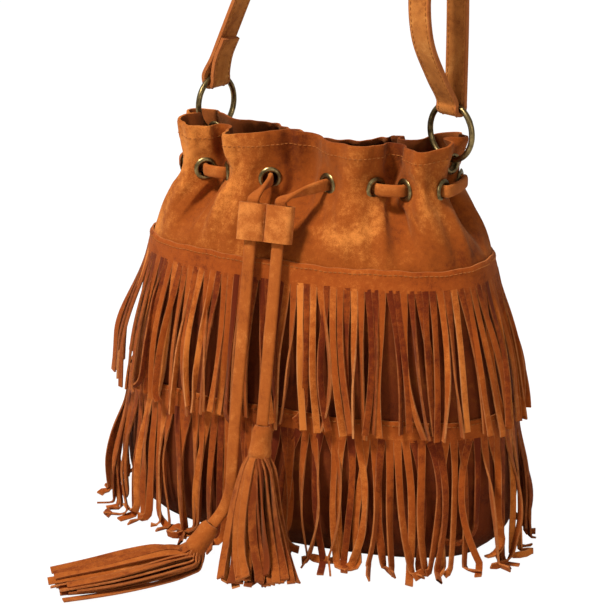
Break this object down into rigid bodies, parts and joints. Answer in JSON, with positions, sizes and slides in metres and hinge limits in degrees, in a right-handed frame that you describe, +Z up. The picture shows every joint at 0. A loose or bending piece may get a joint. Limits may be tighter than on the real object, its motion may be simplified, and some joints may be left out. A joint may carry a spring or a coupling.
{
  "type": "fringed suede bag",
  "caption": "Standing suede bucket bag with two tiers of cut fringe, a gathered neck drawn by a laced cord with tassels, and a shoulder strap on rings.",
  "frame": {"origin": "middle of the underside of the base", "axes": "+Z up, -Y towards the front where the drawstring hangs, +X to the right as seen from the front"},
  "size_m": [0.3024, 0.2719, 0.5838],
  "materials": {
    "suede_wall": "napped suede",
    "suede_fringe": "napped suede with raw cut edges",
    "suede_lace": "napped suede, folded",
    "suede_strap": "napped suede, two layers, stitched along both edges",
    "antique_brass": "aged satin"
  },
  "bodies": {
    "bag": {"front_panel": "suede_wall", "back_panel": "suede_wall", "base_panel": "suede_wall", "upper_fringe_front": "suede_fringe", "upper_fringe_back": "suede_fringe", "lower_fringe_front": "suede_fringe", "lower_fringe_back": "suede_fringe", "lace_eyelet_1": "antique_brass", "lace_eyelet_2": "antique_brass", "lace_eyelet_3": "antique_brass", "lace_eyelet_4": "antique_brass", "lace_eyelet_5": "antique_brass", "lace_eyelet_6": "antique_brass", "lace_eyelet_7": "antique_brass", "lace_eyelet_8": "antique_brass", "lace_eyelet_9": "antique_brass", "lace_eyelet_10": "antique_brass", "lace_eyelet_11": "antique_brass", "lace_eyelet_12": "antique_brass", "lace_eyelet_13": "antique_brass", "lace_eyelet_14": "antique_brass", "lace_eyelet_15": "antique_brass", "lace_eyelet_16": "antique_brass", "ring_eyelet_left": "antique_brass", "ring_eyelet_right": "antique_brass", "drawstring": "suede_lace", "tassel_cap_left": "suede_lace", "tassel_cap_right": "suede_lace", "tassel_strips_left": "suede_lace", "tassel_strips_right": "suede_lace", "shoulder_strap": "suede_strap"},
    "ring_left": {"ring_left": "antique_brass"},
    "ring_right": {"ring_right": "antique_brass"},
    "lace_stop": {"lace_stop": "suede_lace"}
  },
  "joints": [
    {"name": "ring_left_turn", "type": "hinge", "parent": "bag", "child": "ring_left", "pos_m": [-0.08728, 0.02092, 0.294], "axis": [0.9613, -0.2756, 0], "continuous": true},
    {"name": "ring_right_turn", "type": "hinge", "parent": "bag", "child": "ring_right", "pos_m": [0.09317, 0.00167, 0.294], "axis": [-0.4226, -0.9063, 0], "continuous": true},
    {"name": "stop_slide", "type": "slide", "parent": "bag", "child": "lace_stop", "axis": [0, -0.2254, -0.9743], "range_m": [0, 0.09]}
  ]
}
